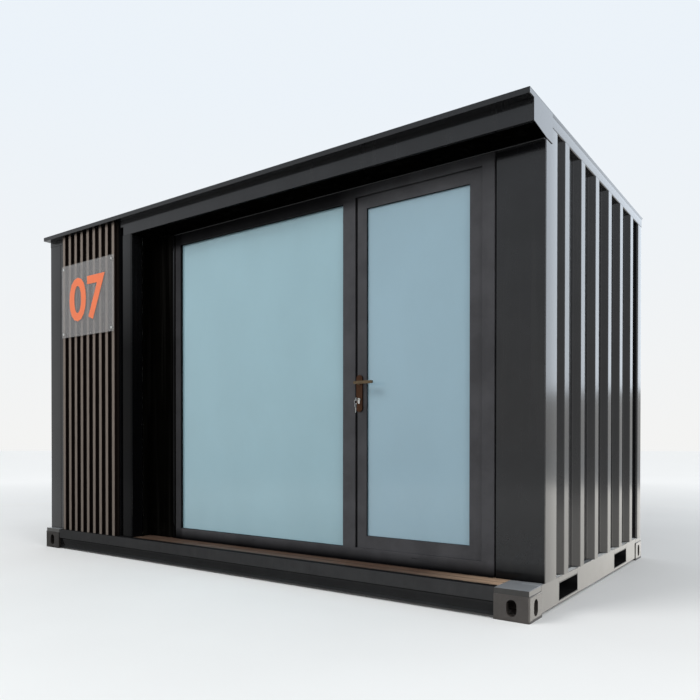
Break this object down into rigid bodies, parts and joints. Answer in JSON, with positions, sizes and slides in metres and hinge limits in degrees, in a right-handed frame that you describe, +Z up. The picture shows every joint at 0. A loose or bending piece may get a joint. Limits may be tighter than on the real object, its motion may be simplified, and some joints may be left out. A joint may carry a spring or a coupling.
{
  "type": "shipping container cabin",
  "caption": "Small steel container cabin with a recessed glazed front, canopy, hinged glass door, slatted cladding, corrugated walls and a forkable base.",
  "frame": {"origin": "on the ground, under the middle of the cabin", "axes": "+X along the glazed front from left to right as seen from outside, +Y from front to back, +Z up"},
  "size_m": [4, 2.226, 2.45],
  "materials": {
    "steel_paint": "gloss charcoal paint on steel",
    "frame_coat": "satin dark grey powder coat on aluminium",
    "lining_board": "plain white faced board",
    "floor_ply": "sealed plywood",
    "deck_wood": "brown sealed board",
    "slat_wood": "brown wood composite with dark grooves",
    "clear_acrylic": "clear plastic sheet",
    "bright_steel": "bright steel",
    "glazing": "grey tinted sealed double glazing",
    "bronze": "brown bronze finish"
  },
  "bodies": {
    "cabin": {"canopy_end_plate": "steel_paint", "canopy_fascia": "steel_paint", "canopy_soffit": "steel_paint", "ceiling": "lining_board", "corner_fitting_front_left": "steel_paint", "corner_fitting_front_right": "steel_paint", "corner_fitting_rear_left": "steel_paint", "corner_fitting_rear_right": "steel_paint", "cross_members": "steel_paint", "entrance_deck": "deck_wood", "floor_board": "floor_ply", "front_bottom_rail": "steel_paint", "front_fork_tube": "steel_paint", "front_left_post": "steel_paint", "front_left_wall": "steel_paint", "front_linings": "lining_board", "front_right_post": "steel_paint", "front_top_rail": "steel_paint", "hinge_frame_halves": "frame_coat", "left_end_sill": "steel_paint", "left_end_wall": "steel_paint", "left_lining": "lining_board", "left_recess_panel": "steel_paint", "left_top_rail": "steel_paint", "portal_post": "steel_paint", "rear_bottom_rail": "steel_paint", "rear_fork_tube": "steel_paint", "rear_left_post": "steel_paint", "rear_lining": "lining_board", "rear_right_post": "steel_paint", "rear_top_rail": "steel_paint", "rear_wall": "steel_paint", "right_end_sill": "steel_paint", "right_end_wall": "steel_paint", "right_lining": "lining_board", "right_recess_panel": "steel_paint", "right_top_rail": "steel_paint", "roof_sheet": "steel_paint", "sign_plate": "clear_acrylic", "sign_standoffs": "bright_steel", "slat_panel": "slat_wood", "window_bead": "frame_coat", "window_door_frame": "frame_coat", "window_glass": "glazing"},
    "door": {"door_bead": "frame_coat", "door_glass": "glazing", "door_keys": "bright_steel", "door_leaf": "frame_coat", "hinge_leaf_halves": "frame_coat", "inner_backplate": "bronze", "lock_cylinder": "bright_steel", "outer_backplate": "bronze"},
    "lever": {"lever_handles": "bronze"}
  },
  "joints": [
    {"name": "door_hinge", "type": "hinge", "parent": "cabin", "child": "door", "pos_m": [1.6795, -0.822, 1.2315], "axis": [0, 0, -1], "range_deg": [0, 100]},
    {"name": "lever_turn", "type": "hinge", "parent": "door", "child": "lever", "pos_m": [0.908, -0.862, 1.172], "axis": [0, 1, 0], "range_deg": [0, 45], "stiffness_Nm_per_rad": 1.5, "springref_deg": -20.05}
  ]
}
